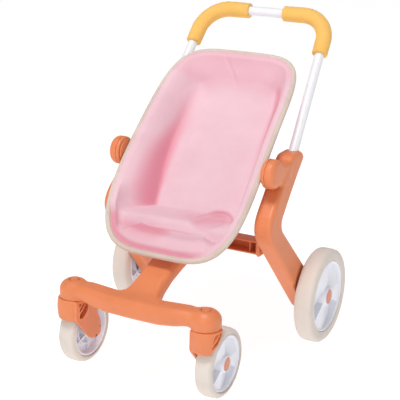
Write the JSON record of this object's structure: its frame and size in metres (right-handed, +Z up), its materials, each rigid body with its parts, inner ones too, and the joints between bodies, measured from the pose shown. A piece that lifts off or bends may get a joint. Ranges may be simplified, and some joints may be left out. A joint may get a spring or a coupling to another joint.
{
  "type": "doll stroller",
  "caption": "Toy stroller for a doll: padded fabric seat in a reclining hoop between two moulded legs, U-shaped push handle with soft grips, rear wheels and swivelling front casters.",
  "frame": {"origin": "on the ground, under the middle of the whole stroller's box", "axes": "+Z up, -Y is the front where the casters are, +Y is the handle side, +X is the right-hand side seen from the front; left and right in node names follow -X and +X"},
  "size_m": [0.3866, 0.4634, 0.5328],
  "materials": {
    "orange_plastic": "satin moulded polypropylene, warm orange",
    "tube": "white powder-coated steel tube, semi-gloss",
    "grip_foam": "soft matt foam, pale yellow-orange",
    "white_plastic": "white moulded plastic with a slight gloss",
    "tyre": "matt beige soft plastic",
    "seat_fabric": "fine woven polyester in pale pink over a thin pad",
    "piping": "woven binding tape in beige",
    "steel": "zinc-plated steel"
  },
  "bodies": {
    "chassis": {"handle_tube": "tube", "crossbar": "orange_plastic", "front_beam": "orange_plastic", "grip_right": "grip_foam", "grip_left": "grip_foam", "leg_right": "orange_plastic", "leg_left": "orange_plastic", "tube_screw_right": "steel", "tube_screw_left": "steel", "beam_screw_right": "steel", "beam_screw_left": "steel", "rear_axle_right": "steel", "rear_axle_left": "steel"},
    "seat": {"seat_frame": "orange_plastic", "seat_piping": "piping", "seat_fabric": "seat_fabric", "pivot_disc_right": "orange_plastic", "pivot_disc_left": "orange_plastic", "pivot_pin_right": "steel", "pivot_pin_left": "steel"},
    "caster_right": {"fork_right": "orange_plastic", "swivel_pin_right": "orange_plastic", "front_axle_right": "steel"},
    "front_wheel_right": {"front_tyre_right": "tyre", "front_rim_right": "white_plastic", "front_hub_cap_right": "orange_plastic"},
    "rear_wheel_right": {"rear_tyre_right": "tyre", "rear_rim_right": "white_plastic", "rear_hub_cap_right": "orange_plastic"},
    "caster_left": {"fork_left": "orange_plastic", "swivel_pin_left": "orange_plastic", "front_axle_left": "steel"},
    "front_wheel_left": {"front_tyre_left": "tyre", "front_rim_left": "white_plastic", "front_hub_cap_left": "orange_plastic"},
    "rear_wheel_left": {"rear_tyre_left": "tyre", "rear_rim_left": "white_plastic", "rear_hub_cap_left": "orange_plastic"}
  },
  "joints": [
    {"name": "seat_recline", "type": "hinge", "parent": "chassis", "child": "seat", "pos_m": [0, -0.0369, 0.315], "axis": [1, 0, 0], "range_deg": [-12, 0]},
    {"name": "caster_right_swivel", "type": "hinge", "parent": "chassis", "child": "caster_right", "pos_m": [0.1165, -0.2054, 0.122], "axis": [0, 0, 1], "continuous": true},
    {"name": "front_wheel_right_spin", "type": "hinge", "parent": "caster_right", "child": "front_wheel_right", "pos_m": [0.1219, -0.1743, 0.05453], "axis": [1, 0, 0], "continuous": true},
    {"name": "rear_wheel_right_spin", "type": "hinge", "parent": "chassis", "child": "rear_wheel_right", "pos_m": [0.1755, 0.0861, 0.07932], "axis": [1, 0, 0], "continuous": true},
    {"name": "caster_left_swivel", "type": "hinge", "parent": "chassis", "child": "caster_left", "pos_m": [-0.1165, -0.2054, 0.122], "axis": [0, 0, 1], "continuous": true},
    {"name": "front_wheel_left_spin", "type": "hinge", "parent": "caster_left", "child": "front_wheel_left", "pos_m": [-0.1219, -0.1743, 0.05453], "axis": [1, 0, 0], "continuous": true},
    {"name": "rear_wheel_left_spin", "type": "hinge", "parent": "chassis", "child": "rear_wheel_left", "pos_m": [-0.1755, 0.0861, 0.07932], "axis": [1, 0, 0], "continuous": true}
  ]
}
